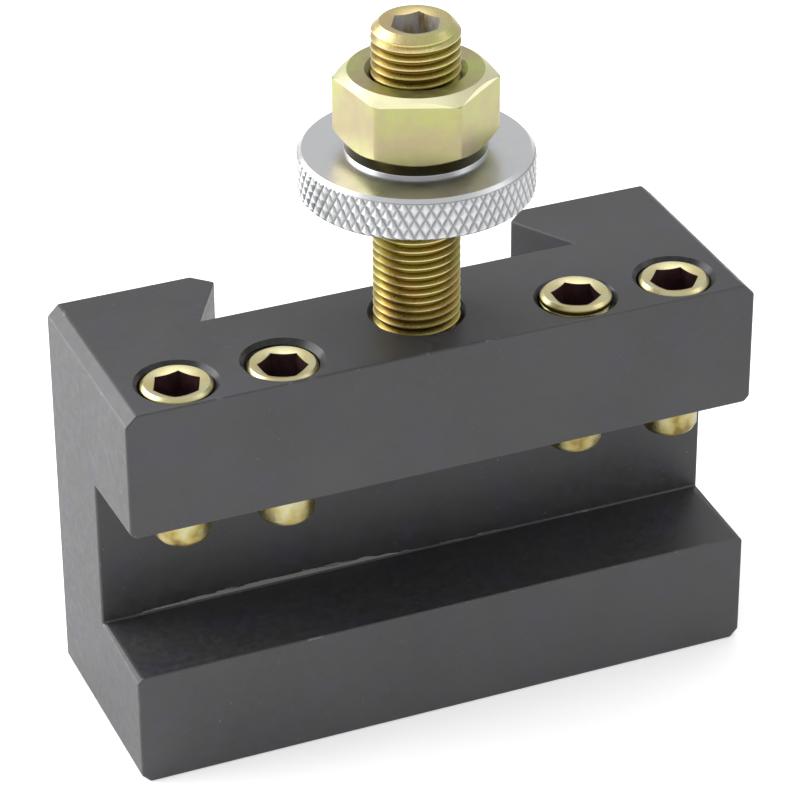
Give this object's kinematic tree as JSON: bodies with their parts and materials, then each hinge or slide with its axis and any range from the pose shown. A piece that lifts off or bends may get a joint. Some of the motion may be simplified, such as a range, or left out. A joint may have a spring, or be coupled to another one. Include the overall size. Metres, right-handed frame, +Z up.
{
  "type": "quick change tool post holder",
  "caption": "Steel turning and facing tool holder with an open tool slot, clamping screws, a rear dovetail and a stud with knurled height wheel and lock nut.",
  "frame": {"origin": "centre of the holder's underside", "axes": "+X along the tool, -Y out of the tool slot's mouth, +Y out of the dovetail towards the tool post, +Z up along the stud"},
  "size_m": [0.09, 0.0367, 0.1],
  "materials": {
    "black_steel": "black oxide on ground steel, satin",
    "stud_zinc": "yellow zinc on a cut thread",
    "wheel_chrome": "bright chrome, diamond knurl on the rim",
    "nut_zinc": "yellow zinc, satin",
    "screw_zinc": "pale yellow zinc"
  },
  "bodies": {
    "holder": {"holder_body": "black_steel", "height_stud": "stud_zinc"},
    "wheel": {"height_wheel": "wheel_chrome"},
    "nut": {"lock_nut": "nut_zinc"},
    "screw_1": {"clamp_screw_1": "screw_zinc"},
    "screw_2": {"clamp_screw_2": "screw_zinc"},
    "screw_3": {"clamp_screw_3": "screw_zinc"},
    "screw_4": {"clamp_screw_4": "screw_zinc"}
  },
  "joints": [
    {"name": "wheel_travel", "type": "slide", "parent": "holder", "child": "wheel", "axis": [0, 0, 1], "range_m": [-0.0188, 0.005]},
    {"name": "nut_travel", "type": "slide", "parent": "wheel", "child": "nut", "axis": [0, 0, 1], "range_m": [-0.001, 0.005]},
    {"name": "screw_1_travel", "type": "slide", "parent": "holder", "child": "screw_1", "axis": [0, 0, 1], "range_m": [-0.0169, 0.006]},
    {"name": "screw_2_travel", "type": "slide", "parent": "holder", "child": "screw_2", "axis": [0, 0, 1], "range_m": [-0.0164, 0.006]},
    {"name": "screw_3_travel", "type": "slide", "parent": "holder", "child": "screw_3", "axis": [0, 0, 1], "range_m": [-0.0177, 0.006]},
    {"name": "screw_4_travel", "type": "slide", "parent": "holder", "child": "screw_4", "axis": [0, 0, 1], "range_m": [-0.0168, 0.006]}
  ]
}
